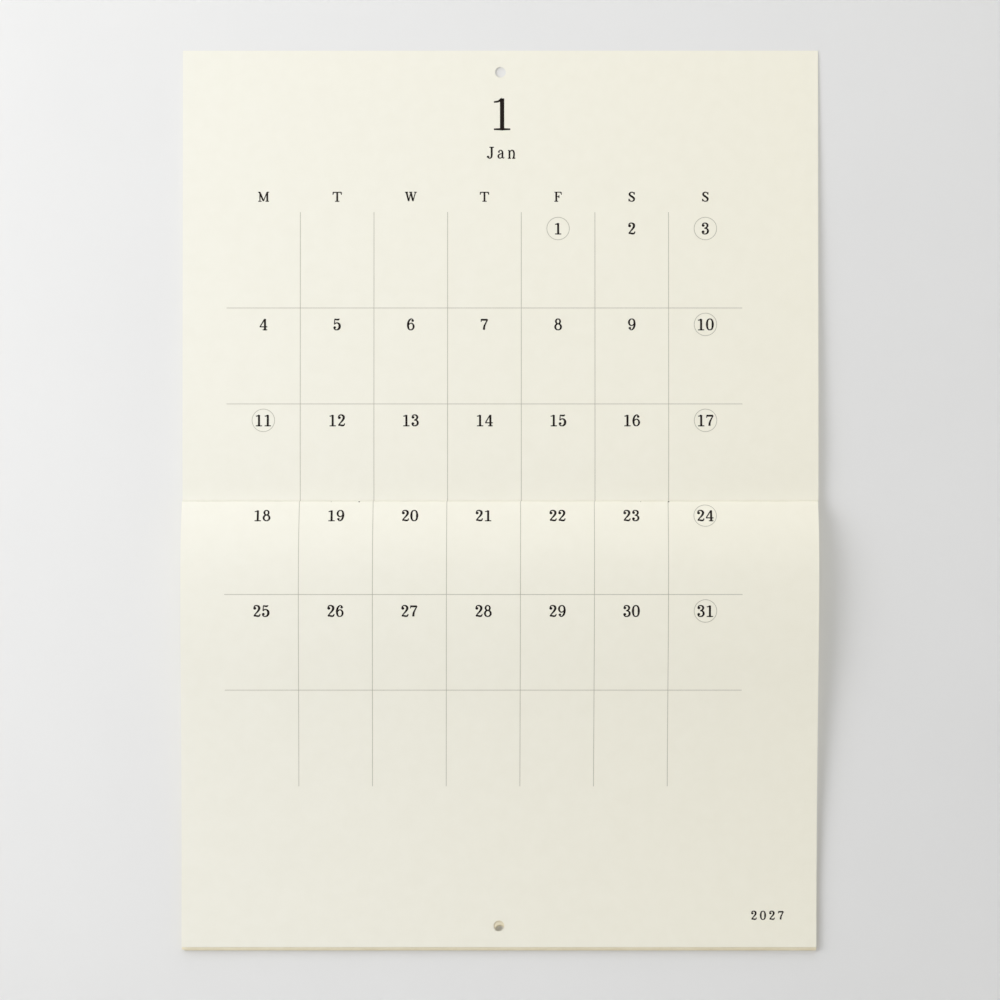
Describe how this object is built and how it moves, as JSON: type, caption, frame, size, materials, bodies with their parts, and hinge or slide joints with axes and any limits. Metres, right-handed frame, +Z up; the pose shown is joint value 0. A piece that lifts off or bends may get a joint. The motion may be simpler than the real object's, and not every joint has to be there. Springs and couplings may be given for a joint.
{
  "type": "wall calendar",
  "caption": "Stapled paper wall calendar hung open at a month spread: upper leaf with a hanging hole, folded page pile bowing out below the fold, wire staples through the spine.",
  "frame": {"origin": "middle of the hanging hole on the wall side of the upper leaf", "axes": "+X to the reader's right, +Y towards the wall along the hanging hole, +Z up; the printed side faces -Y"},
  "size_m": [0.296, 0.0121, 0.4194],
  "materials": {
    "sheet_paper": "uncoated cream paper, matt",
    "page_paper": "uncoated cream paper, matt, cut edges",
    "staple_wire": "drawn galvanised wire"
  },
  "bodies": {
    "root": {"outer_sheet": "sheet_paper", "page_block": "page_paper", "staples": "staple_wire"}
  },
  "joints": []
}
